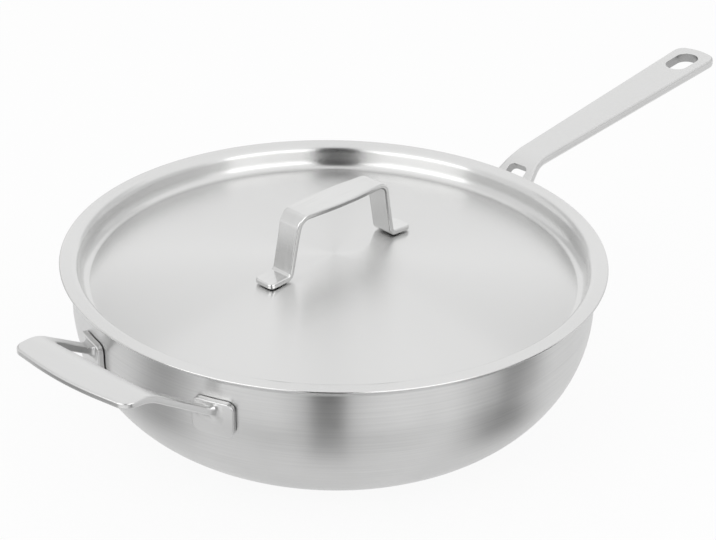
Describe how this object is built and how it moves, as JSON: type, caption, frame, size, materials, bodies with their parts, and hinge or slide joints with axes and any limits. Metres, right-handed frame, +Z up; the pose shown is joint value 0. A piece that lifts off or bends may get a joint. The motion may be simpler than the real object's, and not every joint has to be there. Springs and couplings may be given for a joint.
{
  "type": "wok with lid",
  "caption": "Deep round-bottomed wok in three-ply steel sheet with a long flat handle, a helper handle opposite, and a loose pressed lid with a strap handle.",
  "frame": {"origin": "middle of the pan's flat underside, on the surface that it stands on", "axes": "+Z up along the pan's axis, +X along the long handle away from the pan"},
  "size_m": [0.5448, 0.2978, 0.1287],
  "materials": {
    "brushed_steel": "brushed round the axis",
    "satin_steel": "satin, tumbled edges",
    "aluminium_core": "bare, seen only at the cut rim",
    "weld_metal": "bare weld"
  },
  "bodies": {
    "pan": {"pan_outer_skin": "brushed_steel", "pan_core": "aluminium_core", "pan_inner_skin": "brushed_steel", "long_handle": "satin_steel", "long_handle_weld_left_upper": "weld_metal", "long_handle_weld_left_lower": "weld_metal", "long_handle_weld_right_upper": "weld_metal", "long_handle_weld_right_lower": "weld_metal", "helper_handle": "satin_steel", "helper_weld_left_upper": "weld_metal", "helper_weld_left_lower": "weld_metal", "helper_weld_right_upper": "weld_metal", "helper_weld_right_lower": "weld_metal"},
    "lid": {"lid": "brushed_steel", "lid_handle": "satin_steel", "lid_handle_weld_front_left": "weld_metal", "lid_handle_weld_front_right": "weld_metal", "lid_handle_weld_rear_left": "weld_metal", "lid_handle_weld_rear_right": "weld_metal"}
  },
  "joints": [
    {"name": "lid_lift", "type": "slide", "parent": "pan", "child": "lid", "axis": [0, 0, 1], "range_m": [0, 0.15]}
  ]
}
